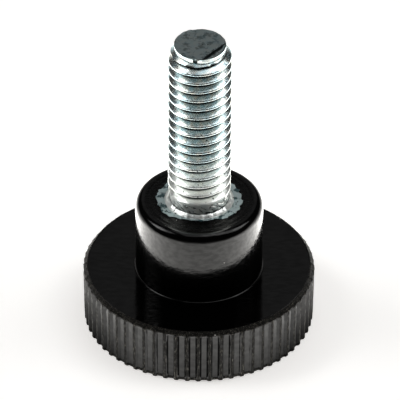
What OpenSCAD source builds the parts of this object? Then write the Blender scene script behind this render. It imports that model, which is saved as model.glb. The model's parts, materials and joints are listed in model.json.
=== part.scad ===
// Knurled knob with a threaded stud: a round moulded head, and a steel stud moulded into its hub.
// Millimetres, +Z up. The origin is the centre of the knob's outer face, on which it stands.

/* [Flange] */
// Diameter over the crests of the ridges, at the hub side
flange_d = 21.8; // [16:0.1:40]
// Thickness of the knurled flange
flange_h = 5.7; // [3.5:0.1:12]
// How much the rim's radius shrinks from the hub side down to the outer face
rim_draft = 0.18; // [0:0.01:0.4]
// Width, across the radius, of the trimmed band around the upper face
band_w = 0.42; // [0.25:0.01:1]
// Height of that band
band_h = 0.27; // [0.2:0.01:1]
// Chamfer around the outer face
outer_edge = 0.22; // [0.05:0.01:0.5]

/* [Knurl] */
// Number of straight ridges around the rim
ridge_n = 64; // [24:1:90]
// Height of a ridge above the floor beside it
ridge_h = 0.2; // [0.1:0.01:0.4]
// Width of a ridge at its crest
ridge_crest_w = 0.34; // [0.15:0.01:0.5]
// Width of a ridge at its root
ridge_root_w = 0.61; // [0.3:0.01:0.9]

/* [Hub] */
// Diameter of the hub
hub_d = 12; // [10:0.1:15]
// Height of the whole head, from the outer face to the hub's face
head_h = 13.3; // [10:0.1:24]
// Radius of the hub's upper edge
hub_edge_r = 0.75; // [0.2:0.05:1]
// Fillet where the hub meets the flange
hub_root_r = 0.15; // [0.05:0.05:0.6]

/* [Stud] */
// Major diameter of the thread, a 6 mm coarse thread at the middle of its tolerance
thread_d = 5.9; // [4.8:0.1:8]
// Length of the stud above the hub's face
stud_l = 18; // [8:0.1:40]
// Length of the chamfer between the thread and the pilot
tip_h = 0.5; // [0.3:0.05:1.2]
// Radius of the pilot below that of the thread
tip_cut = 0.5; // [0.2:0.05:0.8]
// Length of the short plain pilot at the tip
pilot_h = 0.55; // [0.2:0.05:1.2]
// Length of the plain neck between the shoulder and the thread
neck_h = 1.1; // [0.1:0.1:2]
// Radius of the neck below that of the thread
neck_cut = 0.2; // [0.1:0.05:0.6]

/* [Collar] */
// Width of the raised shoulder around the neck, at its foot
shoulder_w = 0.45; // [0.1:0.05:1]
// Height of the shoulder above the hub's face
shoulder_h = 0.3; // [0.2:0.05:1.5]
// How much the shoulder's radius shrinks towards its top
shoulder_taper = 0.1; // [0.02:0.02:0.1]
// Width of the collar outside the shoulder
collar_w = 0.7; // [0.3:0.05:1.2]
// Thickness of the collar, which is sunk into the hub's face
collar_h = 0.8; // [0.4:0.1:2]

/* [Anchor] */
// Radius of the buried shank below that of the thread
shank_cut = 0.35; // [0.1:0.05:0.8]
// Distance across the flats of the buried anchor
anchor_af = 8; // [7.2:0.1:8.4]
// Thickness of the buried anchor
anchor_h = 3.5; // [2:0.1:4.5]
// Thickness of the plastic between the anchor and the outer face
anchor_floor = 3; // [1.5:0.1:4]

/* [Hidden] */
$fn = 192;

// Radii of the rim: over the crests at both ends, and of the flat upper face
rim_top_r = flange_d / 2;
rim_base_r = rim_top_r - rim_draft;
face_r = rim_top_r - band_w;
rim_h = flange_h - band_h;
rim_angle = atan2(rim_draft, rim_h);
hub_r = hub_d / 2;

// Radii of the stud, each from the one beside it
thread_r = thread_d / 2;
neck_r = thread_r - neck_cut;
shoulder_r = neck_r + shoulder_w;
collar_r = shoulder_r + collar_w;
shank_r = thread_r - shank_cut;
tip_r = thread_r - tip_cut;

// Heights of the stud, each from the head that holds it
collar_z = head_h - collar_h;
shoulder_z = head_h + shoulder_h;
thread_z = shoulder_z + neck_h;
pilot_z = head_h + stud_l - pilot_h;
tip_z = pilot_z - tip_h;
anchor_top = anchor_floor + anchor_h;

// How far a cut runs past the surface that it opens through
past = 1;

// Half section of the flange, with its drafted rim and the band around its upper face
module flange_section() {
    polygon([
        [0, 0],
        [rim_base_r - outer_edge, 0],
        [rim_base_r + outer_edge * tan(rim_angle), outer_edge],
        [rim_top_r, rim_h],
        [face_r, flange_h],
        [0, flange_h]
    ]);
}

// Half section of the hub, with a round upper edge and a fillet at its root
module hub_section() {
    square([hub_r, head_h - hub_edge_r]);
    square([hub_r - hub_edge_r, head_h]);
    translate([hub_r - hub_edge_r, head_h - hub_edge_r])
        circle(r = hub_edge_r);
    translate([hub_r, flange_h])
        difference() {
            square(hub_root_r);
            translate([hub_root_r, hub_root_r])
                circle(r = hub_root_r);
        }
}

// One groove between two ridges: a prism that leans with the draft of the rim
module groove() {
    pitch = 2 * PI * rim_top_r / ridge_n;
    floor_w = pitch - ridge_root_w;
    mouth_w = pitch - ridge_crest_w;
    spread = (mouth_w - floor_w) / (2 * ridge_h);
    open_w = floor_w / 2 + spread * (ridge_h + past);
    translate([rim_base_r - ridge_h, 0, 0])
        rotate([0, rim_angle, 0])
            translate([0, 0, -past])
                linear_extrude(flange_h + 2 * past)
                    polygon([
                        [0, -floor_w / 2],
                        [ridge_h + past, -open_w],
                        [ridge_h + past, open_w],
                        [0, floor_w / 2]
                    ]);
}

// The part of the stud that is moulded in: collar, shank and anchor
module stud_root() {
    translate([0, 0, collar_z])
        cylinder(h = collar_h, r = collar_r);
    translate([0, 0, anchor_top])
        cylinder(h = collar_z - anchor_top, r = shank_r);
    translate([0, 0, anchor_floor])
        cylinder(h = anchor_h, d = anchor_af / cos(30), $fn = 6);
}

module head() {
    color([0.03, 0.03, 0.03])
        difference() {
            rotate_extrude() {
                flange_section();
                hub_section();
            }
            for (i = [0 : ridge_n - 1])
                rotate([0, 0, (i + 0.5) * 360 / ridge_n])
                    groove();
            stud_root();
        }
}

module stud() {
    color([0.72, 0.74, 0.74]) {
        stud_root();
        translate([0, 0, head_h])
            cylinder(h = shoulder_h, r1 = shoulder_r, r2 = shoulder_r - shoulder_taper);
        translate([0, 0, shoulder_z])
            cylinder(h = neck_h, r = neck_r);
        translate([0, 0, thread_z])
            cylinder(h = tip_z - thread_z, r = thread_r);
        translate([0, 0, tip_z])
            cylinder(h = tip_h, r1 = thread_r, r2 = tip_r);
        translate([0, 0, pilot_z])
            cylinder(h = pilot_h, r = tip_r);
    }
}

head();
stud();
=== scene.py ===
"""Looks of a knurled knob with a threaded stud: its meshes, finishes, floor, light and camera.

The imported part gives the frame: the head and the stud keep their places, and each is shown by a
detailed mesh that stands for it. Sizes are in metres.
"""

import json
import logging
import math
import random
from collections.abc import Callable, Sequence
from dataclasses import dataclass, field
from enum import Enum
from typing import Any

import bmesh
import bpy
from mathutils import Matrix, Vector, noise


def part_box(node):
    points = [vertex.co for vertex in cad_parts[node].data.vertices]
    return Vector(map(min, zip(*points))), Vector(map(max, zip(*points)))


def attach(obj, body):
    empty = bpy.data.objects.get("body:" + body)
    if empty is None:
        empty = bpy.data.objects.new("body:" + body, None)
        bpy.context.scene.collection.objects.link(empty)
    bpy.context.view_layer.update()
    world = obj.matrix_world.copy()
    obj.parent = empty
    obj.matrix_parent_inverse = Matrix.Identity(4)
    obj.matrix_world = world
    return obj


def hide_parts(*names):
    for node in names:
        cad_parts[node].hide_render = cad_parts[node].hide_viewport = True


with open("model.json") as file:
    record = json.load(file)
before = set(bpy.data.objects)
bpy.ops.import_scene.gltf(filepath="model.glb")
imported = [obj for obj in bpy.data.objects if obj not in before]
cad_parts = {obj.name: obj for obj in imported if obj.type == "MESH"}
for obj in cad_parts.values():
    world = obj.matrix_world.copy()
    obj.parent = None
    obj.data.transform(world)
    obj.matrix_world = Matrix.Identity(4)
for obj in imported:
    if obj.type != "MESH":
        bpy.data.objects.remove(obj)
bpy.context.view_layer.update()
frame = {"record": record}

MM = 0.001
TURN = 2 * math.pi
BODY = "root"
WELD = 2e-7

log = logging.getLogger("knurled_knob")

Colour = tuple[float, float, float]
Section = list[tuple[float, float]]


class Sharp(Enum):
    """Angle between faces above which an edge stays sharp, in degrees."""

    MOULDED = 35
    ROLLED = 45


def mix(a: float, b: float, t: float) -> float:
    """Return the value a share t of the way from a to b."""
    return a + (b - a) * t


def ease(low: float, high: float, value: float) -> float:
    """Return a smooth step of value from 0 at low to 1 at high."""
    t = min(max((value - low) / (high - low), 0.0), 1.0)
    return t * t * (3 - 2 * t)


def arc(centre: tuple[float, float], radius: float, start: float, end: float, steps: int) -> Section:
    """Return points along an arc of a half section.

    Args:
        centre: Radius and height of the arc's centre.
        radius: Radius of the arc.
        start: First angle in degrees, counted from straight outwards.
        end: Last angle in degrees.
        steps: Number of spans.

    Returns:
        Pairs of radius and height, with both ends.
    """
    angles = [math.radians(mix(start, end, i / steps)) for i in range(steps + 1)]
    return [(centre[0] + radius * math.cos(a), centre[1] + radius * math.sin(a)) for a in angles]


def polar(radius: float, angle: float, height: float) -> Vector:
    """Return the point at a radius, an angle around +Z and a height."""
    return Vector((radius * math.cos(angle), radius * math.sin(angle), height))


def lump(point: Vector, size: float, seed: float) -> float:
    """Return smooth noise of about -1 to 1 that varies over a given size."""
    return noise.noise(point / size + Vector((seed, 2.3 * seed, -seed)))


class Graph:
    """A short way to write a node tree."""

    def __init__(self, tree: bpy.types.NodeTree) -> None:
        """Keep the tree and its nodes."""
        self.tree = tree

    def add(self, kind: str, inputs: dict[Any, Any] | None = None, **settings: Any) -> bpy.types.Node:
        """Add a node.

        Args:
            kind: Type name of the node.
            inputs: Values or sockets, by the input's name or number.
            **settings: Properties of the node.

        Returns:
            The new node.
        """
        made = self.tree.nodes.new(kind)
        for name, value in settings.items():
            setattr(made, name, value)
        for key, value in (inputs or {}).items():
            if isinstance(value, bpy.types.NodeSocket):
                self.tree.links.new(value, made.inputs[key])
            else:
                made.inputs[key].default_value = value
        return made

    def math(self, operation: str, a: Any, b: Any) -> bpy.types.NodeSocket:
        """Return the output of a Math node on two values or sockets."""
        return self.add("ShaderNodeMath", {0: a, 1: b}, operation=operation).outputs[0]

    def plus(self, a: Any, b: Any) -> bpy.types.NodeSocket:
        """Return the sum of two values or sockets."""
        return self.math("ADD", a, b)

    def times(self, a: Any, b: Any) -> bpy.types.NodeSocket:
        """Return the product of two values or sockets."""
        return self.math("MULTIPLY", a, b)

    def stretch(self, where: Any, by: tuple[float, float, float]) -> bpy.types.NodeSocket:
        """Return a place with each of its coordinates multiplied."""
        return self.add("ShaderNodeVectorMath", {0: where, 1: by}, operation="MULTIPLY").outputs[0]

    def length(self, where: Any) -> bpy.types.NodeSocket:
        """Return the distance of a place from the origin."""
        return self.add("ShaderNodeVectorMath", {0: where}, operation="LENGTH").outputs["Value"]

    def noise(self, where: Any, size: float, detail: float = 2.0, rough: float = 0.5) -> bpy.types.NodeSocket:
        """Return noise that varies over a size in metres, about a mean of a half."""
        inputs = {"Vector": where, "Scale": 1 / size, "Detail": detail, "Roughness": rough}
        return self.add("ShaderNodeTexNoise", inputs).outputs[0]

    def span(self, value: Any, low: float, high: float, to_low: float = 0.0, to_high: float = 1.0) -> Any:
        """Return a smooth clamped map of value from one span to another."""
        inputs = {0: value, 1: low, 2: high, 3: to_low, 4: to_high}
        return self.add("ShaderNodeMapRange", inputs, interpolation_type="SMOOTHSTEP").outputs[0]

    def blend(self, share: Any, a: Any, b: Any) -> bpy.types.NodeSocket:
        """Blend two colours.

        Args:
            share: Value or socket, 0 for the first colour and 1 for the second.
            a: First colour, or the socket that gives it.
            b: Second colour, or the socket that gives it.

        Returns:
            The blended colour.
        """
        made = self.add("ShaderNodeMix", data_type="RGBA")
        for key, value in ((0, share), (6, a), (7, b)):
            if isinstance(value, bpy.types.NodeSocket):
                self.tree.links.new(value, made.inputs[key])
            else:
                made.inputs[key].default_value = value
        return made.outputs[2]

    def bump(self, height: Any, distance: float, under: Any = None) -> bpy.types.NodeSocket:
        """Bump a normal.

        Args:
            height: Value or socket of the height, which is 0 to 1.
            distance: Distance in metres that a height of 1 stands for.
            under: Normal to start from, or None for the mesh's own.

        Returns:
            The bumped normal.
        """
        inputs = {"Height": height, "Distance": distance}
        if under is not None:
            inputs["Normal"] = under
        return self.add("ShaderNodeBump", inputs).outputs[0]

    def attribute(self, name: str) -> bpy.types.NodeSocket:
        """Return a number that is stored on the mesh."""
        return self.add("ShaderNodeAttribute", attribute_name=name).outputs["Fac"]

    def feed(self, shader: bpy.types.Node, sockets: dict[str, bpy.types.NodeSocket]) -> None:
        """Link each socket to the input of the shader that has its name."""
        for name, socket in sockets.items():
            self.tree.links.new(socket, shader.inputs[name])


def rgba(colour: Colour) -> tuple[float, float, float, float]:
    """Return an opaque colour with its alpha."""
    return (*colour, 1.0)


def new_material(name: str) -> tuple[bpy.types.Material, Graph, bpy.types.Node]:
    """Make a material with nodes.

    Args:
        name: Name of the material.

    Returns:
        The material, its graph and its Principled shader.
    """
    made = bpy.data.materials.new(name)
    made.use_nodes = True
    shader = made.node_tree.nodes["Principled BSDF"]
    return made, Graph(made.node_tree), shader


@dataclass(frozen=True)
class BlackResin:
    """Glossy black moulded resin, which turns grey and matt where it is trimmed or rubbed."""

    deep: Colour = (0.0002, 0.0002, 0.0002)
    haze: Colour = (0.0005, 0.0005, 0.0005)
    scuffed: Colour = (0.003, 0.0028, 0.0024)
    pale: Colour = (0.110, 0.103, 0.088)
    lint: Colour = (0.35, 0.34, 0.32)
    ior: float = 1.5
    shine: float = 0.25
    worn_shine: float = 0.06
    faced_shine: float = 0.55
    smooth: tuple[float, float] = (0.09, 0.14)
    worn_rough: float = 0.45
    faced_rough: float = 0.16
    peel: float = 0.4 * MM
    peel_h: float = 0.011 * MM
    ripple: float = 0.16 * MM
    ripple_h: float = 0.0012 * MM
    grain: float = 0.09 * MM
    grain_h: float = 0.08 * MM
    cutter_rings: float = 0.11 * MM
    cutter_rings_h: float = 0.0006 * MM
    mottle: float = 0.35 * MM
    dust: float = 2.4 * MM

    def material(self) -> bpy.types.Material:
        """Build the material, which reads the mesh's wear and facing values.

        Returns:
            The material.
        """
        made, graph, shader = new_material("black_resin")
        where = graph.add("ShaderNodeTexCoord").outputs["Object"]
        wear = graph.attribute("wear")
        faced = graph.attribute("faced")
        fine = graph.noise(graph.stretch(where, (1, 1, 0.22)), self.grain, 3.0, 0.6)
        broad = graph.noise(where, self.mottle, 3.0, 0.6)
        peel = graph.noise(graph.stretch(where, (0.45, 1.2, 1)), self.peel, 2.0)
        ripple = graph.noise(where, self.ripple, 1.0)
        patchy = graph.span(graph.plus(wear, graph.math("SUBTRACT", broad, 0.5)), 0.25, 0.85)

        clean = graph.blend(broad, rgba(self.deep), rgba(self.haze))
        dull = graph.blend(graph.span(fine, 0.50, 0.76), rgba(self.scuffed), rgba(self.pale))
        colour = graph.blend(patchy, clean, dull)
        colour = graph.blend(self.specks(graph, where), colour, rgba(self.lint))

        rough = graph.plus(graph.span(broad, 0.3, 0.7, *self.smooth), graph.times(patchy, self.worn_rough))
        rough = graph.plus(rough, graph.times(faced, self.faced_rough))

        level = graph.span(patchy, 0.0, 1.0, self.shine, self.worn_shine)
        level = graph.times(level, graph.span(peel, 0.3, 0.7, 0.82, 1.18))
        level = graph.times(level, graph.span(faced, 0.0, 1.0, 1.0, self.faced_shine))

        normal = graph.bump(peel, self.peel_h)
        normal = graph.bump(ripple, self.ripple_h, normal)
        normal = graph.bump(graph.times(self.turning_rings(graph, where), faced), self.cutter_rings_h, normal)
        normal = graph.bump(graph.times(fine, patchy), self.grain_h, normal)

        shader.inputs["IOR"].default_value = self.ior
        shader.inputs["Specular IOR Level"].default_value = self.shine
        linked = {"Base Color": colour, "Roughness": rough, "Specular IOR Level": level, "Normal": normal}
        graph.feed(shader, linked)
        return made

    def specks(self, graph: Graph, where: Any) -> bpy.types.NodeSocket:
        """Scatter lint, as a few tiny pale specks.

        Args:
            graph: Graph of the material.
            where: Place on the surface.

        Returns:
            The share of lint, which is 0 between the specks.
        """
        cells = graph.add("ShaderNodeTexVoronoi", {"Vector": where, "Scale": 1 / self.dust})
        chosen = graph.span(cells.outputs["Color"], 0.45, 0.55)
        return graph.times(graph.span(cells.outputs["Distance"], 0.02, 0.035, 1.0, 0.0), chosen)

    def turning_rings(self, graph: Graph, where: Any) -> bpy.types.NodeSocket:
        """Draw the rings that a cutter leaves on a faced surface.

        Args:
            graph: Graph of the material.
            where: Place on the surface.

        Returns:
            The height of the rings, 0 to 1.
        """
        radius = graph.length(graph.stretch(where, (1, 1, 0)))
        along = graph.add("ShaderNodeCombineXYZ", {"X": radius}).outputs[0]
        return graph.noise(along, self.cutter_rings, 2.0, 0.7)


@dataclass(frozen=True)
class ZincPlate:
    """Bright zinc plating on steel, with a cool tint and fine pits, and painted shade in its thread roots,
    corners and creases and on the tip.
    """

    bright: Colour = (0.50, 0.65, 0.69)
    warm: Colour = (0.72, 0.72, 0.66)
    pale: Colour = (0.93, 0.95, 0.92)
    dull: Colour = (0.52, 0.62, 0.63)
    shade: Colour = (0.06, 0.11, 0.12)
    # Painted shade: the dark colour laid where the depth value is high
    root: Colour = (0.045, 0.055, 0.056)
    pit: Colour = (0.05, 0.055, 0.055)
    pale_share: float = 0.85
    pale_metallic: float = 0.86
    smooth: tuple[float, float] = (0.18, 0.32)
    matt_rough: float = 0.20
    pale_rough: float = 0.08
    pit_rough: float = 0.3
    grain: float = 0.10 * MM
    grain_h: float = 0.007 * MM
    patch: float = 0.6 * MM
    patch_h: float = 0.02 * MM
    flake: float = 0.75 * MM
    speck: float = 0.36 * MM
    speck_wobble: float = 0.35
    pale_below: float = 15.5 * MM
    unpaled_above: float = 21.0 * MM

    def material(self) -> bpy.types.Material:
        """Build the material, which reads the mesh's depth and matt values and pales low down; the depth
        value sets the painted shade.

        Returns:
            The material.
        """
        made, graph, shader = new_material("zinc_plate")
        where = graph.add("ShaderNodeTexCoord").outputs["Object"]
        depth = graph.attribute("depth")
        matt = graph.attribute("matt")
        fine = graph.noise(where, self.grain, 4.0, 0.65)
        broad = graph.noise(where, self.patch, 3.0, 0.6)
        flakes = graph.noise(where, self.flake, 3.0, 0.7)
        height = graph.add("ShaderNodeSeparateXYZ", {0: where}).outputs["Z"]
        # The stud is paler, rougher and a little less metallic towards the bottom
        low = graph.span(height, self.pale_below, self.unpaled_above, 1.0, 0.0)
        pits = self.pits(graph, where, low)

        colour = graph.blend(graph.span(broad, 0.35, 0.7), rgba(self.bright), rgba(self.warm))
        colour = graph.blend(graph.times(low, self.pale_share), colour, rgba(self.pale))
        crust = graph.blend(graph.span(flakes, 0.38, 0.50), rgba(self.shade), rgba(self.dull))
        colour = graph.blend(graph.span(matt, 0.55, 0.95), colour, crust)
        # Painted shade: the root colour darkens the thread's roots, corners, creases and the tip, as far as
        # the depth value marks
        colour = graph.blend(graph.span(depth, 0.66, 0.97), colour, rgba(self.root))
        colour = graph.blend(pits, colour, rgba(self.pit))

        rough = graph.span(fine, 0.3, 0.75, *self.smooth)
        for share, extra in ((matt, self.matt_rough), (low, self.pale_rough), (pits, self.pit_rough)):
            rough = graph.plus(rough, graph.times(share, extra))
        metallic = graph.span(low, 0.0, 1.0, 1.0, self.pale_metallic)

        normal = graph.bump(broad, self.patch_h)
        normal = graph.bump(graph.math("SUBTRACT", fine, pits), self.grain_h, normal)

        linked = {"Base Color": colour, "Roughness": rough, "Metallic": metallic, "Normal": normal}
        graph.feed(shader, linked)
        return made

    def pits(self, graph: Graph, where: Any, low: Any) -> bpy.types.NodeSocket:
        """Scatter pits, as small irregular spots that are more common low down.

        Args:
            graph: Graph of the material.
            where: Place on the surface.
            low: How low the place is, 0 to 1.

        Returns:
            The share of pit, which is 0 between the spots.
        """
        wobble = graph.times(graph.noise(where, self.grain, 2.0), self.speck_wobble)
        cells = graph.add("ShaderNodeTexVoronoi", {"Vector": where, "Scale": 1 / self.speck})
        near = graph.plus(cells.outputs["Distance"], wobble)
        common = graph.plus(cells.outputs["Color"], graph.times(low, 0.22))
        chosen = graph.span(common, 0.78, 0.82)
        return graph.times(graph.span(near, 0.34, 0.44, 1.0, 0.0), chosen)


class Skin:
    """A mesh that is gathered as rings of points, with a few numbers stored at each point."""

    def __init__(self, columns: int, fields: Sequence[str]) -> None:
        """Start an empty skin.

        Args:
            columns: Number of points in each full ring.
            fields: Names of the numbers stored at each point.
        """
        self.columns = columns
        self.fields = list(fields)
        self.points: list[Vector] = []
        self.values: list[Sequence[float]] = []
        self.faces: list[tuple[int, ...]] = []

    def point(self, place: Vector, values: Sequence[float]) -> int:
        """Add a point.

        Args:
            place: Where it lies.
            values: Its numbers, in the order of the fields.

        Returns:
            Its index.
        """
        self.points.append(place)
        self.values.append(values)
        return len(self.points) - 1

    def ring(self, make: Callable[[float], tuple[Vector, Sequence[float]]]) -> list[int]:
        """Add a full ring of points, whose places and numbers are made from their angles."""
        return [self.point(*make(TURN * i / self.columns)) for i in range(self.columns)]

    def stitch(self, rings: Sequence[Sequence[int]]) -> None:
        """Join each ring to the next with quads.

        Args:
            rings: Indices of the points of each ring, in order.
        """
        for lower, upper in zip(rings, rings[1:]):
            for i in range(self.columns):
                j = (i + 1) % self.columns
                self.faces.append((lower[i], lower[j], upper[j], upper[i]))

    def cap(self, ring: Sequence[int], centre: int) -> None:
        """Close a ring with triangles to a centre point."""
        for i in range(self.columns):
            self.faces.append((ring[i], ring[(i + 1) % self.columns], centre))

    def mesh(self, name: str, sharp: Sharp) -> bpy.types.Mesh:
        """Make the welded mesh, with outward normals, smooth faces and its stored numbers.

        Args:
            name: Name of the mesh.
            sharp: Which edges stay sharp.

        Returns:
            The mesh.
        """
        made = bpy.data.meshes.new(name)
        made.from_pydata([tuple(p) for p in self.points], [], self.faces)
        for k, field_name in enumerate(self.fields):
            layer = made.attributes.new(field_name, "FLOAT", "POINT")
            layer.data.foreach_set("value", [v[k] for v in self.values])
        weld(made, True)
        finish_shading(made, sharp)
        return made


def weld(mesh: bpy.types.Mesh, outward: bool) -> None:
    """Merge doubled points and drop empty faces.

    Args:
        mesh: Mesh to change.
        outward: Whether to turn the normals outwards too.
    """
    work = bmesh.new()
    work.from_mesh(mesh)
    bmesh.ops.remove_doubles(work, verts=work.verts, dist=WELD)
    bmesh.ops.dissolve_degenerate(work, edges=work.edges, dist=WELD)
    if outward:
        bmesh.ops.recalc_face_normals(work, faces=work.faces)
    work.to_mesh(mesh)
    work.free()


def finish_shading(mesh: bpy.types.Mesh, sharp: Sharp) -> None:
    """Shade a mesh smooth, except across sharp edges.

    Args:
        mesh: Mesh to change.
        sharp: Which edges stay sharp.
    """
    mesh.polygons.foreach_set("use_smooth", [True] * len(mesh.polygons))
    mesh.set_sharp_from_angle(angle=math.radians(sharp.value))
    mesh.update()


def place(name: str, mesh: bpy.types.Mesh, material: bpy.types.Material) -> bpy.types.Object:
    """Put a mesh in the scene, at the origin.

    Args:
        name: Name of the object.
        mesh: Its mesh.
        material: Its only material.

    Returns:
        The object.
    """
    made = bpy.data.objects.new(name, mesh)
    mesh.materials.clear()
    mesh.materials.append(material)
    bpy.context.scene.collection.objects.link(made)
    return made


@dataclass
class RadialRepeat:
    """A Geometry Nodes tree that repeats one sector around +Z and roughens what is worn."""

    count: int
    scuff_depth: float
    scuff_size: float
    seed: int
    material: bpy.types.Material

    def tree(self) -> bpy.types.NodeTree:
        """Build the node tree, with named inputs for its sizes.

        Returns:
            The tree, which ends in Realize Instances and Set Material.
        """
        made = bpy.data.node_groups.new("radial_repeat", "GeometryNodeTree")
        face = made.interface
        face.new_socket("Geometry", in_out="OUTPUT", socket_type="NodeSocketGeometry")
        kinds = {
            "Geometry": "NodeSocketGeometry",
            "Count": "NodeSocketInt",
            "Scuff Depth": "NodeSocketFloat",
            "Scuff Size": "NodeSocketFloat",
            "Seed": "NodeSocketInt",
            "Weld": "NodeSocketFloat",
            "Material": "NodeSocketMaterial",
        }
        for name, kind in kinds.items():
            face.new_socket(name, in_out="INPUT", socket_type=kind)
        graph = Graph(made)
        given = graph.add("NodeGroupInput").outputs
        points = graph.add("GeometryNodePoints", {"Count": given["Count"]}).outputs[0]
        index = graph.add("GeometryNodeInputIndex").outputs[0]
        step = graph.math("DIVIDE", TURN, given["Count"])
        angle = graph.add("ShaderNodeCombineXYZ", {"Z": graph.times(index, step)}).outputs[0]
        turn = graph.add("FunctionNodeEulerToRotation", {0: angle}).outputs[0]
        inputs = {"Points": points, "Instance": given["Geometry"], "Rotation": turn}
        copies = graph.add("GeometryNodeInstanceOnPoints", inputs).outputs[0]
        solid = graph.add("GeometryNodeRealizeInstances", {0: copies}).outputs[0]
        inputs = {"Geometry": solid, "Distance": given["Weld"]}
        welded = graph.add("GeometryNodeMergeByDistance", inputs).outputs[0]
        inputs = {"Geometry": welded, "Offset": self.offset(graph, given)}
        rough = graph.add("GeometryNodeSetPosition", inputs)
        dressed = graph.add("GeometryNodeSetMaterial", {0: rough.outputs[0], "Material": given["Material"]})
        graph.add("NodeGroupOutput", {0: dressed.outputs[0]})
        return made

    @staticmethod
    def offset(graph: Graph, given: Any) -> bpy.types.NodeSocket:
        """Roughen a point: noise in all directions, as large as the point is chipped.

        Args:
            graph: Graph of the tree.
            given: Outputs of its Group Input node.

        Returns:
            The offset of the point.
        """
        where = graph.add("GeometryNodeInputPosition").outputs[0]
        chip = graph.add("GeometryNodeInputNamedAttribute", {"Name": "chip"}, data_type="FLOAT").outputs[0]
        scale = graph.math("DIVIDE", 1.0, given["Scuff Size"])
        inputs = {"Vector": where, "W": given["Seed"], "Scale": scale, "Detail": 2.0}
        colour = graph.add("ShaderNodeTexNoise", inputs, noise_dimensions="4D").outputs["Color"]
        centred = graph.add("ShaderNodeVectorMath", {0: colour, 1: (0.5, 0.5, 0.5)}, operation="SUBTRACT")
        inputs = {0: centred.outputs[0], "Scale": graph.times(chip, given["Scuff Depth"])}
        return graph.add("ShaderNodeVectorMath", inputs, operation="SCALE").outputs[0]

    def run(self, name: str, sector: bpy.types.Mesh) -> bpy.types.Mesh:
        """Return a plain mesh of the repeated sector.

        Args:
            name: Name of the mesh.
            sector: Mesh of one sector, which starts at the angle 0.

        Returns:
            The whole mesh, with no modifier left.
        """
        holder = bpy.data.objects.new(name + "_sector", sector)
        bpy.context.scene.collection.objects.link(holder)
        live = holder.modifiers.new("repeat", "NODES")
        live.node_group = self.tree()
        values = {
            "Count": self.count,
            "Scuff Depth": self.scuff_depth,
            "Scuff Size": self.scuff_size,
            "Seed": self.seed,
            "Weld": WELD * 5,
            "Material": self.material,
        }
        for item in live.node_group.interface.items_tree:
            if item.in_out == "INPUT" and item.name in values:
                live[item.identifier] = values[item.name]
        graph = bpy.context.evaluated_depsgraph_get()
        made = bpy.data.meshes.new_from_object(holder.evaluated_get(graph), depsgraph=graph)
        made.name = name
        bpy.data.objects.remove(holder)
        return made


def hexagon(flat_r: float, angle: float) -> float:
    """Return the radius of a hexagon at an angle, from the distance to its flats."""
    sixth = TURN / 6
    return flat_r / math.cos((angle % sixth) - sixth / 2)


@dataclass(frozen=True)
class BuriedRoot:
    """The stud's collar, shank and hexagonal anchor, which the hollow of the head fits."""

    flash_h: float = 0.1 * MM
    collar_r: float = 3.9 * MM
    collar_h: float = 0.8 * MM
    shank_r: float = 2.6 * MM
    anchor_r: float = 4.0 * MM
    anchor_h: float = 3.5 * MM

    def sides(self, hub_top: float, anchor_top: float) -> Section:
        """Draw the section of the collar and the shank.

        Args:
            hub_top: Height of the hub's face.
            anchor_top: Height of the anchor's upper side.

        Returns:
            Pairs of radius and height, from the collar's upper side down to the anchor.
        """
        collar_low = hub_top - self.collar_h
        line = [(self.collar_r, hub_top - self.flash_h), (self.collar_r, collar_low)]
        return line + [(self.shank_r, collar_low), (self.shank_r, anchor_top)]


@dataclass
class Row:
    """One line of the head's section, which can lie at two places: on a ridge and between two."""

    ridge: tuple[float, float]
    floor: tuple[float, float]
    wear: float = 0.0
    floor_wear: float = 0.0
    chip: float = 0.0
    faced: float = 0.0


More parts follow.
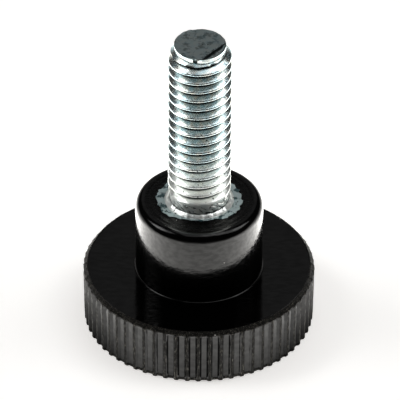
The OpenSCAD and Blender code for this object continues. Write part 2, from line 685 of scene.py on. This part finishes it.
@dataclass
class MouldedHead:
    """The black head: a knurled flange with a hub, moulded in one piece."""

    finish: BlackResin = field(default_factory=BlackResin)
    ridge_count: int = 64
    flange_h: float = 5.7 * MM
    rim_draft: float = 0.10 * MM
    band_w: float = 0.42 * MM
    band_h: float = 0.27 * MM
    outer_edge: float = 0.07 * MM
    strip_h: float = 0.30 * MM
    deeper: float = 0.30 * MM
    ridge_h: float = 0.2 * MM
    burr_w: float = 0.10 * MM
    burr_h: float = 0.045 * MM
    hub_r: float = 6.0 * MM
    hub_edge_r: float = 0.75 * MM
    hub_root_r: float = 0.15 * MM
    step_r: float = 4.93 * MM
    step_h: float = 0.035 * MM
    # Fine ridge and groove that the cutter left on the hub's face: radius and height of each
    rings: tuple[tuple[float, float], ...] = ((4.62 * MM, 0.012 * MM), (4.24 * MM, -0.012 * MM))
    ring_w: float = 0.04 * MM
    mouth_r: float = 3.1 * MM
    root: BuriedRoot = field(default_factory=BuriedRoot)
    anchor_floor: float = 3.0 * MM
    scuff_depth: float = 0.24 * MM
    scuff_size: float = 0.30 * MM
    scuff_seed: int = 7
    trim_start: float = 4.4 * MM
    # Places across one half of a ridge's pitch, and the share of the ridge's height at each
    half: tuple[tuple[float, float], ...] = (
        (0.04, 1.0), (0.131, 1.0), (0.137, 0.96), (0.273, 0.04), (0.279, 0.0), (0.39, 0.0), (0.5, 0.0)
    )

    def __post_init__(self) -> None:
        """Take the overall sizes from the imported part."""
        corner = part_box("head")[1]
        self.rim_r = corner.x
        self.top = corner.z
        self.across = [(-along, rise) for along, rise in reversed(self.half)] + list(self.half)
        self.base_r = self.rim_r - self.rim_draft
        self.face_r = self.rim_r - self.band_w
        self.rim_h = self.flange_h - self.band_h

    def outer_rows(self) -> list[Row]:
        """Draw the outer face and the rounded ends of the ridges there.

        Returns:
            Rows from the centre out to the strip around the rim's lower edge.
        """
        rows = [Row((r, 0.0), (r, 0.0)) for r in (0.0, 4 * MM, 8 * MM, 10 * MM)]
        large = self.outer_edge
        small = 0.6 * large
        root_r = self.base_r - self.ridge_h
        round_ridge = arc((self.base_r - large, large), large, -90, 0, 3)
        round_floor = arc((root_r - small, small), small, -90, 0, 3)
        rows += [Row(ridge, floor, 0.9, 0.8, chip=0.2) for ridge, floor in zip(round_ridge, round_floor)]
        strip = (root_r + 0.03 * MM, self.strip_h)
        rows.append(Row((self.base_r, self.strip_h), strip, 0.85, 0.75, chip=0.3))
        return rows

    def rim_rows(self) -> list[Row]:
        """Draw the knurled rim and the trimmed band around the upper face.

        Returns:
            Rows from the rim's lower end up and in to the burr.
        """
        rows = []
        spans = 14
        for k in range(spans + 1):
            share = mix(0.07, 0.94, k / spans)
            r = self.base_r + self.rim_draft * share
            z = self.rim_h * share
            rows.append(Row((r, z), (r - self.ridge_h, z), 0.75, 0.03, chip=mix(0.25, 0.85, share**2)))
        start = (self.rim_r, self.rim_h)
        end = (self.face_r + self.burr_w, self.flange_h)
        for below, inward, floor_wear in ((0.24 * MM, 0.95, 0.1), (0.10 * MM, 0.55, 0.7)):
            floor = (start[0] - inward * self.ridge_h, start[1] - below)
            rows.append(Row((start[0], start[1] - 0.8 * below), floor, 0.9, floor_wear, chip=1.0))
        lip = (start[0] - 0.05 * MM, start[1] + 0.03 * MM)
        for share in (0.0, 0.25, 0.5, 0.75, 1.0):
            ridge = (mix(start[0], end[0], share), mix(start[1], end[1], share))
            floor = (mix(lip[0], end[0], share), mix(lip[1], end[1], share))
            rows.append(Row(ridge, floor, 1.0, 0.95, chip=1.0))
        return rows

    def upper_rows(self) -> list[Row]:
        """Draw the burr, the flange's upper face, the hub's side and its face.

        Returns:
            Rows from the band in to the mouth around the stud.
        """
        burr_top = self.flange_h + self.burr_h
        burr = (
            (self.face_r + 0.6 * self.burr_w, burr_top, 1.0, 0.8),
            (self.face_r + 0.25 * self.burr_w, burr_top, 1.0, 0.5),
            (self.face_r, self.flange_h, 0.6, 0.2),
        )
        rows = [Row((r, z), (r, z), wear, wear, chip=chip) for r, z, wear, chip in burr]
        line: Section = [(r, self.flange_h) for r in (self.face_r - 0.1 * MM, 9.2 * MM, 8.0 * MM, 7.0 * MM)]
        root = (self.hub_r + self.hub_root_r, self.flange_h + self.hub_root_r)
        edge = (self.hub_r - self.hub_edge_r, self.top - self.hub_edge_r)
        line += [(root[0] + 0.05 * MM, self.flange_h)]
        line += arc(root, self.hub_root_r, 270, 180, 5)
        line += [(self.hub_r, root[1] + 0.06 * MM)]
        line += [(self.hub_r, mix(root[1], edge[1], share)) for share in (0.25, 0.5, 0.75)]
        line += [(self.hub_r, edge[1] - 0.06 * MM)]
        line += arc(edge, self.hub_edge_r, 0, 90, 14)
        return [*rows, *(Row(p, p) for p in line), *(Row(p, p, faced=1.0) for p in self.face_line())]

    def face_line(self) -> Section:
        """Draw the section of the hub's face, which is cut a little lower inside its edge.

        Returns:
            Pairs of radius and height, from the edge in to the mouth.
        """
        low = self.top - self.step_h
        line = [(self.step_r + 0.12 * MM, self.top), (self.step_r + 0.03 * MM, self.top - 0.003 * MM)]
        line += [(self.step_r - 0.04 * MM, low), (self.step_r - 0.08 * MM, low)]
        for radius, height in self.rings:
            line += [(radius + self.ring_w, low), (radius, low + height), (radius - self.ring_w, low)]
        return line + [(3.6 * MM, low), (self.mouth_r, low)]

    def socket_rows(self) -> list[Row]:
        """Draw the hollow that the stud's collar, shank and anchor fill.

        Returns:
            Rows from the mouth down to the centre of the hollow's floor.
        """
        anchor_r = self.root.anchor_r
        anchor_top = self.anchor_floor + self.root.anchor_h
        line = [(self.mouth_r, self.top - self.root.flash_h), *self.root.sides(self.top, anchor_top)]
        line += [(anchor_r, anchor_top), (anchor_r, self.anchor_floor), (0.0, self.anchor_floor)]
        return [Row(p, p) for p in line]

    def sector(self) -> bpy.types.Mesh:
        """Build one ridge's pitch of the head.

        Returns:
            A mesh from the centre of the outer face round to the centre of the hollow.
        """
        rows = self.outer_rows() + self.rim_rows() + self.upper_rows() + self.socket_rows()
        pitch = TURN / self.ridge_count
        points: list[tuple[float, ...]] = []
        stored: dict[str, list[float]] = {"wear": [], "chip": [], "faced": []}
        for row in rows:
            for along, rise in self.across:
                radius = mix(row.floor[0], row.ridge[0], rise)
                height = mix(row.floor[1], row.ridge[1], rise)
                points.append(tuple(polar(radius, along * pitch, height)))
                top = ease(0.965, 1.0, rise)
                stored["wear"].append(mix(row.floor_wear, row.wear, top))
                stored["chip"].append(row.chip * (0.15 + 0.85 * rise))
                stored["faced"].append(row.faced)
        n = len(self.across)
        faces = []
        for k in range(len(rows) - 1):
            for i in range(n - 1):
                a = k * n + i
                faces.append((a, a + 1, a + 1 + n, a + n))
        made = bpy.data.meshes.new("head_sector")
        made.from_pydata(points, [], faces)
        for name, values in stored.items():
            made.attributes.new(name, "FLOAT", "POINT").data.foreach_set("value", values)
        weld(made, False)
        return made

    def shape_anchor(self, mesh: bpy.types.Mesh) -> None:
        """Turn the anchor's round hollow into a hexagon.

        Args:
            mesh: Mesh of the whole head.
        """
        anchor_r = self.root.anchor_r
        anchor_top = self.anchor_floor + self.root.anchor_h
        for vertex in mesh.vertices:
            across = vertex.co.xy
            inside = self.anchor_floor - WELD < vertex.co.z < anchor_top + WELD
            if inside and abs(across.length - anchor_r) < 10 * WELD:
                vertex.co.xy = across * (hexagon(anchor_r, math.atan2(across.y, across.x)) / anchor_r)

    def trim_behind(self, mesh: bpy.types.Mesh) -> None:
        """Lower the trimmed band at +Y, where the cut went deeper.

        Args:
            mesh: Mesh of the whole head.
        """
        start = self.trim_start
        for vertex in mesh.vertices:
            out = (vertex.co.xy.length - self.face_r) / self.band_w
            if out > 0 and vertex.co.z > start:
                share = min(out, 1.0) * (vertex.co.z - start) / (self.flange_h - start)
                vertex.co.z -= self.deeper * share * ease(-0.1, 0.6, vertex.co.y / vertex.co.xy.length)

    def build(self) -> bpy.types.Object:
        """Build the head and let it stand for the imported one.

        Returns:
            The finished piece.
        """
        material = self.finish.material()
        repeat = RadialRepeat(self.ridge_count, self.scuff_depth, self.scuff_size, self.scuff_seed, material)
        mesh = repeat.run("moulded_head", self.sector())
        self.shape_anchor(mesh)
        self.trim_behind(mesh)
        weld(mesh, True)
        finish_shading(mesh, Sharp.MOULDED)
        made = place("moulded_head", mesh, material)
        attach(made, BODY)
        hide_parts("head")
        return made


@dataclass
class RaggedPlate:
    """The thin torn skirt of zinc-plated metal that lies around the stud on the hub's face."""

    inner_r: float
    base: float
    seed: int = 11
    corners: int = 84
    narrow_r: float = 3.36 * MM
    wide_r: float = 4.02 * MM
    least_w: float = 0.06 * MM
    jag: float = 0.13 * MM
    sweep: float = 0.12 * MM
    thick: float = 0.07 * MM
    # Sizes of its unevenness, and their heights
    lumps: tuple[tuple[float, float], ...] = ((0.40 * MM, 0.045 * MM), (0.15 * MM, 0.022 * MM))

    def __post_init__(self) -> None:
        """Draw the ragged corners of the outline."""
        draw = random.Random(self.seed)
        self.angles = [TURN * (i + draw.uniform(-0.45, 0.45)) / self.corners for i in range(self.corners)]
        self.offsets = [draw.uniform(-1.0, 1.0) * self.jag for _ in self.angles]

    def outline(self, angle: float) -> float:
        """Find the torn edge, which is wide at the sides and has straight tears.

        Args:
            angle: Angle around +Z.

        Returns:
            The radius of the edge there.
        """
        turned = angle % TURN
        if turned < self.angles[0]:
            turned += TURN
        ends = self.angles[1:] + [self.angles[0] + TURN]
        for k, end in enumerate(ends):
            if turned <= end:
                share = (turned - self.angles[k]) / (end - self.angles[k])
                jag = mix(self.offsets[k], self.offsets[(k + 1) % self.corners], share)
                return max(self.mean(angle) + jag * self.breadth(angle), self.inner_r + self.least_w)
        return self.mean(angle)

    def breadth(self, angle: float) -> float:
        """Return 0 to 1: how much of the skirt shows at an angle."""
        return 0.45 + 0.55 * ease(0.15, 0.8, abs(math.cos(angle)))

    def mean(self, angle: float) -> float:
        """Return the radius of the outline before it is torn."""
        wave = self.sweep * lump(polar(1.0, angle, 0.0), 0.55, 3.0)
        return mix(self.narrow_r, self.wide_r, ease(0.25, 0.95, abs(math.cos(angle)))) + wave

    def height(self, angle: float, radius: float) -> float:
        """Find the upper surface, which is uneven and thins outwards.

        Args:
            angle: Angle around +Z.
            radius: Distance from the axis.

        Returns:
            The height of the surface there.
        """
        point = polar(radius, angle, 0.0)
        (broad, broad_h), (fine, fine_h) = self.lumps
        rough = broad_h * lump(point, broad, 5.0) + fine_h * lump(point, fine, 8.0)
        out = (radius - self.inner_r) / max(self.outline(angle) - self.inner_r, 0.05 * MM)
        return self.base + self.thick * (1.0 - 0.35 * out) + rough


@dataclass
class ThreadedStud:
    """The zinc-plated stud: pilot, rolled thread, neck, washer ring, torn skirt and buried root."""

    finish: ZincPlate = field(default_factory=ZincPlate)
    columns: int = 200
    pitch: float = 1.0 * MM
    phase: float = -0.01
    depth: float = 0.613 * MM
    pilot_h: float = 0.68 * MM
    chamfer_h: float = 0.4 * MM
    tip_cut: float = 0.5 * MM
    pilot_taper: float = 0.12 * MM
    step_angle: float = math.radians(-40)
    step_at: float = 1.50 * MM
    step_w: float = 0.29 * MM
    step_drop: float = 0.34 * MM
    neck_r: float = 2.78 * MM
    thread_start: float = 14.40 * MM
    ring_inner: float = 2.76 * MM
    ring_outer: float = 3.13 * MM
    ring_h: float = 0.33 * MM
    ring_drop: float = 0.23 * MM
    hatch: float = 0.42 * MM
    hatch_turns: int = 19
    notch_angle: float = math.radians(259)
    notch_depth: float = 0.20 * MM
    run_out: float = 0.8 * MM
    root: BuriedRoot = field(default_factory=BuriedRoot)
    # Values of depth and matt on its surfaces; a high depth value lays painted shade, fully on the tip's step
    # and the corner at the neck and partly on the end face
    face_look: tuple[float, float] = (0.80, 0.80)
    shaded_step_look: tuple[float, float] = (1.0, 0.0)
    side_look: tuple[float, float] = (0.0, 0.1)
    shaded_corner_look: tuple[float, float] = (1.0, 0.3)
    torn_look: tuple[float, float] = (0.0, 1.0)
    edge_look: tuple[float, float] = (0.3, 1.0)
    buried_look: tuple[float, float] = (0.0, 0.5)
    # Places along one pitch, and the share of the thread's depth at each
    profile: tuple[tuple[float, float], ...] = (
        (0.0, 0.0), (0.045, 0.005), (0.07, 0.035), (0.13, 0.19), (0.20, 0.39), (0.27, 0.585), (0.34, 0.78),
        (0.395, 0.93), (0.44, 0.99), (0.5, 1.0), (0.56, 0.99), (0.605, 0.93), (0.66, 0.78), (0.73, 0.585),
        (0.80, 0.39), (0.87, 0.19), (0.93, 0.035), (0.955, 0.005),
    )

    def __post_init__(self) -> None:
        """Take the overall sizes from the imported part."""
        mounts = {m["name"]: m for m in frame["record"]["mounts"]}
        low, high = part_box("stud")
        self.thread_r = mounts["stud"]["dims"]["r_mm"] * MM
        self.top = high.z
        self.root_z = low.z
        self.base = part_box("head")[1].z - 0.035 * MM
        self.low = self.base + self.ring_h
        self.high = self.top - self.pilot_h
        self.pilot_r = self.thread_r - self.tip_cut
        self.plate = RaggedPlate(self.ring_outer, self.base)

    def envelope(self, z: float) -> float:
        """Limit the thread at the neck and at the tip.

        Args:
            z: Height.

        Returns:
            The largest radius that the thread can have there.
        """
        foot_r = self.pilot_r - self.pilot_taper
        tip = mix(foot_r, self.thread_r, min((self.high - z) / self.chamfer_h, 1.0))
        neck = mix(self.neck_r, self.thread_r, ease(0.0, 0.35 * MM, z - self.thread_start))
        return min(tip, neck)

    def cut(self, z: float) -> float:
        """Return the share of the full thread depth at a height."""
        return ease(0.0, self.run_out, z - self.thread_start + 0.1 * MM)

    def thread_point(self, column: int, row: int) -> tuple[Vector, Sequence[float]]:
        """Return a point of the helical surface and its stored numbers.

        Args:
            column: Index around the axis.
            row: Index along the thread's profile, counted over all turns.

        Returns:
            The place, and the values of depth and matt.
        """
        per = len(self.profile)
        along, share = self.profile[row % per]
        turns = row // per + along + column / self.columns + self.phase
        first = math.floor(self.low / self.pitch) - 1
        z = min(max(self.pitch * (turns + first), self.low), self.high)
        angle = TURN * column / self.columns
        cut = self.cut(z)
        radius = min(self.thread_r - self.depth * share * cut, self.envelope(z))
        place_at = polar(radius, angle, z)
        free = ease(0.0, 0.08 * MM, z - self.low) * ease(0.0, 0.08 * MM, self.high - z)
        rough = 0.010 * MM * lump(place_at, 0.5 * MM, 1.0) + 0.006 * MM * lump(place_at, 0.17 * MM, 3.0)
        dent = -0.04 * MM * ease(0.4, 0.8, lump(place_at, 0.7 * MM, 9.0)) * (1 - share)
        crumple = self.hatching(angle, z) * (1 - cut)
        radius = min(radius + (rough + dent + crumple) * free, self.thread_r)
        # Painted shade: the depth value darkens the thread's roots, the hollows of the neck's hatching and
        # the corner just above the washer ring
        crease_shade = 0.9 * ease(-0.010 * MM, -0.032 * MM, crumple) * (1 - cut)
        corner = ease(0.16 * MM, 0.05 * MM, z - self.low)
        return polar(radius, angle, z), (max(share * cut, crease_shade, corner), 0.3 * (1 - cut))

    def hatching(self, angle: float, z: float) -> float:
        """Shape the crossed ridges that the tools left on the neck.

        Args:
            angle: Angle around +Z.
            z: Height.

        Returns:
            Their height there.
        """
        wander = 0.12 * MM * lump(polar(self.neck_r, angle, z), 0.6 * MM, 21.0)
        one = math.sin(self.hatch_turns * angle + TURN * (z + 2.2 * wander) / self.hatch)
        two = lump(polar(self.neck_r, angle, 1.6 * z), 0.24 * MM, 23.0)
        return 0.03 * MM * (one + 1.3 * two) - 0.01 * MM

    def add_thread(self, skin: Skin) -> None:
        """Add the helical surface, clamped to the neck below and the chamfer above.

        Args:
            skin: Skin to add to.
        """
        rows = len(self.profile) * (int((self.high - self.low) / self.pitch) + 4)
        grid = [[skin.point(*self.thread_point(c, r)) for r in range(rows)] for c in range(self.columns + 1)]
        for column in range(self.columns):
            left, right = grid[column], grid[column + 1]
            for row in range(rows - 1):
                skin.faces.append((left[row], right[row], right[row + 1], left[row + 1]))

    def add_tip(self, skin: Skin) -> None:
        """Add the pilot and its end face, which is a little uneven and rolls off at one side.

        Args:
            skin: Skin to add to.
        """
        rings = []
        foot_r = self.pilot_r - self.pilot_taper
        for share in (0.0, 0.06, 0.3, 0.6, 0.85):
            radius = mix(foot_r, self.pilot_r, share)
            z = mix(self.high, self.top, share)
            rings.append(
                skin.ring(lambda a, r=radius, z=z, s=share: (self.pilot_point(r, a, z, s), self.side_look))
            )
        for share in (0.988, *(0.97 - 0.03 * k for k in range(15)), 0.5, 0.35, 0.18):
            radius = self.pilot_r * share
            rings.append(
                skin.ring(lambda a, r=radius, s=share: (self.tip_point(r, a, s), self.tip_look(r, a)))
            )
        skin.stitch(rings)
        skin.cap(rings[-1], skin.point(self.tip_point(0.0, 0.0, 0.0), self.face_look))

    def pilot_point(self, radius: float, angle: float, z: float, share: float) -> Vector:
        """Place a point of the pilot's side, which has a small notch.

        Args:
            radius: Radius before it is made uneven.
            angle: Angle around +Z.
            z: Height.
            share: How far up the side it is, 0 to 1.

        Returns:
            The place.
        """
        point = polar(radius, angle, z)
        if share <= 0.0:
            return point
        rough = 0.012 * MM * lump(point, 0.6 * MM, 2.5)
        notch = ease(0.085, 0.04, abs(math.remainder(angle - self.notch_angle, TURN)))
        return polar(radius + rough - self.notch_depth * notch, angle, z)

    def tip_look(self, radius: float, angle: float) -> Sequence[float]:
        """Choose the look of the end face, which is smooth and carries painted shade on its step.

        Args:
            radius: Distance from the axis.
            angle: Angle around +Z.

        Returns:
            The depth and matt values.
        """
        across = radius * math.cos(angle - self.step_angle)
        if self.step_at - 0.03 * MM < across < self.step_at + self.step_w + 0.02 * MM:
            return self.shaded_step_look
        return self.face_look

    def tip_point(self, radius: float, angle: float, share: float) -> Vector:
        """Place a point of the end face, which has a lumpy rim.

        Args:
            radius: Distance from the axis.
            angle: Angle around +Z.
            share: The same distance, as a share of the pilot's radius.

        Returns:
            The place.
        """
        flat = polar(radius, angle, self.top)
        edge = ease(0.86, 0.97, share)
        inside = 1.0 - edge
        across = radius * math.cos(angle - self.step_angle)
        roll = self.step_drop * min(max((across - self.step_at) / self.step_w, 0.0), 1.0)
        rough = 0.014 * MM * lump(flat, 0.6 * MM, 4.0) + 0.006 * MM * lump(flat, 0.2 * MM, 6.0)
        lumpy = 0.09 * MM * (0.5 + 0.8 * lump(flat, 0.35 * MM, 14.0)) * edge
        flat.z -= inside * 0.05 * MM + roll + abs(rough) * inside + lumpy
        return flat

    def add_foot(self, skin: Skin) -> None:
        """Add the washer ring, the torn skirt and the buried root, down to the anchor's end.

        Args:
            skin: Skin to add to.
        """
        top = self.low
        low = self.low - self.ring_drop
        line: Section = [(self.neck_r, top), (self.ring_inner - 0.03 * MM, top - 0.02 * MM)]
        line += [(self.ring_inner + 0.02 * MM, top - 0.01 * MM), (self.ring_inner + 0.06 * MM, top)]
        line += [(mix(self.ring_inner, self.ring_outer, 0.55), mix(top, low, 0.45))]
        line += [(self.ring_outer - 0.04 * MM, low + 0.01 * MM), (self.ring_outer, low - 0.03 * MM)]
        line += [(self.ring_outer, self.base + 0.08 * MM)]
        rings = [skin.ring(lambda a, p=p: (self.foot_point(p, a), self.side_look)) for p in line[2:]]
        # Painted shade in the corner where the neck meets the washer ring
        rings[:0] = [skin.ring(lambda a, p=p: (self.foot_point(p, a), self.shaded_corner_look)) for p in line[:2]]
        for share in (0.2, 0.45, 0.7, 0.9, 1.0):
            rings.append(skin.ring(lambda a, s=share: (self.plate_point(a, s), self.torn_look)))
        under = self.base - 0.01 * MM
        rings.append(skin.ring(lambda a: (polar(self.plate.outline(a), a, under), self.edge_look)))
        anchor_top = self.root_z + self.root.anchor_h
        anchor_r = self.root.anchor_r
        head_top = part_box("head")[1].z
        inner_r = self.ring_outer - 0.1 * MM
        buried = [(inner_r, under), (inner_r, head_top - self.root.flash_h)]
        buried += self.root.sides(head_top, anchor_top)
        rings += [skin.ring(lambda a, p=p: (polar(p[0], a, p[1]), self.buried_look)) for p in buried]
        for z in (anchor_top, self.root_z):
            rings.append(skin.ring(lambda a, z=z: (polar(hexagon(anchor_r, a), a, z), self.buried_look)))
        skin.stitch(rings)
        skin.cap(rings[-1], skin.point(Vector((0.0, 0.0, self.root_z)), self.buried_look))

    def foot_point(self, at: tuple[float, float], angle: float) -> Vector:
        """Place a point of the washer ring, a little uneven except where the thread's skin ends.

        Args:
            at: Radius and height before it is made uneven.
            angle: Angle around +Z.

        Returns:
            The place.
        """
        radius, z = at
        point = polar(radius, angle, z)
        free = 1.0 if abs(radius - self.neck_r) > WELD else 0.0
        rough = 0.012 * MM * lump(point, 0.6 * MM, 2.0) + 0.008 * MM * lump(point, 0.2 * MM, 7.0)
        rough += 0.03 * MM * lump(polar(self.ring_inner, angle, 0.0), 0.34 * MM, 17.0)
        return polar(radius + rough * free, angle, z + rough * free)

    def plate_point(self, angle: float, share: float) -> Vector:
        """Return a point of the skirt's upper surface, a share of the way to its torn edge."""
        radius = mix(self.ring_outer, self.plate.outline(angle), share)
        return polar(radius, angle, self.plate.height(angle, radius))

    def build(self) -> bpy.types.Object:
        """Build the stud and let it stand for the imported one.

        Returns:
            The finished piece.
        """
        skin = Skin(self.columns, ("depth", "matt"))
        self.add_thread(skin)
        self.add_tip(skin)
        self.add_foot(skin)
        made = place("threaded_stud", skin.mesh("threaded_stud", Sharp.ROLLED), self.finish.material())
        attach(made, BODY)
        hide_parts("stud")
        return made


@dataclass(frozen=True)
class Lamp:
    """One rectangular light: where it stands as seen from the object, its breadth and brightness."""

    name: str
    azimuth: float
    elevation: float
    half_width: float
    half_height: float
    radiance: float
    distance: float = 0.40


@dataclass
class Studio:
    """A pale floor, soft lamps in a dim room, and the camera."""

    floor_size: float = 3.0
    floor_albedo: float = 0.9
    floor_glow: float = 0.52
    elevation: float = 37.11
    distance: float = 0.8
    scale: float = 10.68 / MM
    picture: float = 400.0
    sensor: float = 36.0
    aim: tuple[float, float, float] = (0.00007, -0.00087, 0.01385)
    roll: float = 0.3
    lamps: tuple[Lamp, ...] = (
        Lamp("left_core", 174, 49, 9, 9, 4.4),
        Lamp("left_skirt", 176, 53, 15, 13, 1.6),
        Lamp("right_core", 12, 53, 9, 9, 2.3),
        Lamp("right_skirt", 4, 58, 15, 16, 1.8),
        Lamp("top_right", 15, 79, 9, 8, 1.5),
        Lamp("overhead", 90, 86, 14, 22, 0.9),
        Lamp("back_card", 90, 40, 16, 14, 0.20),
    )

    def build(self) -> None:
        """Build the floor, the lamps, the room and the camera."""
        self.add_floor()
        for lamp in self.lamps:
            self.add_lamp(lamp)
        self.add_room()
        self.add_camera()

    def add_floor(self) -> None:
        """Add a flat pale floor whose gloss is painted light, brighter to the back, with a painted contact
        shadow near the object.
        """
        half = self.floor_size / 2
        mesh = bpy.data.meshes.new("floor")
        corners = [(-half, -half, 0.0), (half, -half, 0.0), (half, half, 0.0), (-half, half, 0.0)]
        mesh.from_pydata(corners, [], [(0, 1, 2, 3)])
        made, graph, shader = new_material("floor_paper")
        shader.inputs["Base Color"].default_value = rgba((self.floor_albedo,) * 3)
        shader.inputs["Roughness"].default_value = 0.9
        shader.inputs["Emission Color"].default_value = (1.0, 0.975, 0.945, 1.0)
        shader.inputs["Emission Strength"].default_value = self.floor_glow
        inputs = {"Color": (1.0, 0.985, 0.95, 1.0), "Strength": self.backlight(graph)}
        glow = graph.add("ShaderNodeEmission", inputs)
        seen = graph.add("ShaderNodeLightPath").outputs["Is Camera Ray"]
        both = graph.add("ShaderNodeMixShader", {0: seen, 1: glow.outputs[0], 2: shader.outputs[0]})
        graph.tree.links.new(both.outputs[0], graph.tree.nodes["Material Output"].inputs["Surface"])
        place("floor", mesh, made)

    @staticmethod
    def backlight(graph: Graph) -> bpy.types.NodeSocket:
        """Set the floor's painted brightness in gloss, which grows to the back, fades far away and is dimmed
        near the object as a painted contact shadow.

        Args:
            graph: Graph of the floor's material.

        Returns:
            The brightness.
        """
        where = graph.add("ShaderNodeTexCoord").outputs["Object"]
        along = graph.add("ShaderNodeSeparateXYZ", {0: where}).outputs["Y"]
        away = graph.length(where)
        near = graph.span(along, -0.033, -0.0215, 0.7, 2.9)
        ramp = {0: along, 1: -0.0215, 2: 0.006, 3: 0.0, 4: 3.1}
        rise = graph.add("ShaderNodeMapRange", ramp).outputs[0]
        fade = graph.span(along, -0.11, -0.04, 0.2, 1.0)
        far = graph.span(away, 0.022, 0.09, 1.0, 0.4)
        # Painted contact shadow: close to the object the gloss brightness is dimmed, more at the sides than
        # at the front
        shadow_least = graph.span(along, -0.0125, -0.006, 0.6, 0.1)
        contact_shadow = graph.span(away, 0.0105, 0.0180, shadow_least, 1.0)
        total = graph.times(graph.plus(near, rise), fade)
        return graph.times(graph.times(total, far), contact_shadow)

    def add_lamp(self, lamp: Lamp) -> None:
        """Add one area light that faces the object and isn't seen by the camera.

        Args:
            lamp: Its place, size and brightness.
        """
        data = bpy.data.lights.new(lamp.name, "AREA")
        data.shape = "RECTANGLE"
        data.size = 2 * lamp.distance * math.tan(math.radians(lamp.half_width))
        data.size_y = 2 * lamp.distance * math.tan(math.radians(lamp.half_height))
        data.energy = lamp.radiance * math.pi * data.size * data.size_y
        made = bpy.data.objects.new(lamp.name, data)
        away = direction(lamp.azimuth, lamp.elevation)
        made.matrix_world = Matrix.Translation(away * lamp.distance) @ facing(away)
        made.visible_camera = False
        bpy.context.scene.collection.objects.link(made)

    def add_room(self) -> None:
        """Add a dim room with a pale sweep low at the back, which looks pale behind the object."""
        world = bpy.data.worlds.new("room")
        world.use_nodes = True
        graph = Graph(world.node_tree)
        graph.tree.nodes.clear()
        seen = graph.add("ShaderNodeLightPath").outputs["Is Camera Ray"]
        toward = graph.add("ShaderNodeSeparateXYZ", {0: graph.add("ShaderNodeTexCoord").outputs["Generated"]})
        behind = graph.span(toward.outputs["Y"], -0.1, 0.4)
        low = graph.span(toward.outputs["Z"], 0.0, 0.25, 1.0, 0.0)
        glow = graph.plus(graph.times(graph.times(behind, low), 1.2), 0.03)
        dim = graph.add("ShaderNodeBackground", {"Color": rgba((1.0, 0.99, 0.97)), "Strength": glow})
        pale = graph.add("ShaderNodeBackground", {"Color": rgba((1.0, 1.0, 1.0))})
        both = graph.add("ShaderNodeMixShader", {0: seen, 1: dim.outputs[0], 2: pale.outputs[0]})
        graph.add("ShaderNodeOutputWorld", {"Surface": both.outputs[0]})
        bpy.context.scene.world = world

    def add_camera(self) -> None:
        """Add the camera, with plain display colours."""
        data = bpy.data.cameras.new("camera")
        data.sensor_width = self.sensor
        data.lens = self.sensor * self.distance * self.scale / self.picture
        data.clip_start = 0.05
        data.clip_end = 10.0
        made = bpy.data.objects.new("camera", data)
        back = direction(270, self.elevation)
        turn = facing(back) @ Matrix.Rotation(math.radians(self.roll), 4, "Z")
        made.matrix_world = Matrix.Translation(Vector(self.aim) + back * self.distance) @ turn
        bpy.context.scene.collection.objects.link(made)
        bpy.context.scene.camera = made
        bpy.context.scene.view_settings.view_transform = "Standard"


def direction(azimuth: float, elevation: float) -> Vector:
    """Return the unit vector at an azimuth from +X and an elevation, in degrees."""
    a, e = math.radians(azimuth), math.radians(elevation)
    return Vector((math.cos(a) * math.cos(e), math.sin(a) * math.cos(e), math.sin(e)))


def facing(away: Vector) -> Matrix:
    """Return the turn that makes a lamp or camera look back along a direction."""
    return away.to_track_quat("Z", "Y").to_matrix().to_4x4()


def main() -> None:
    """Build the floor, light and camera, then each piece, and report them."""
    logging.basicConfig(level=logging.INFO, format="%(name)s: %(message)s")
    Studio().build()
    for part in (MouldedHead(), ThreadedStud()):
        made = part.build()
        log.info("%s has %d faces", made.name, len(made.data.polygons))


if __name__ == "__main__":
    main()
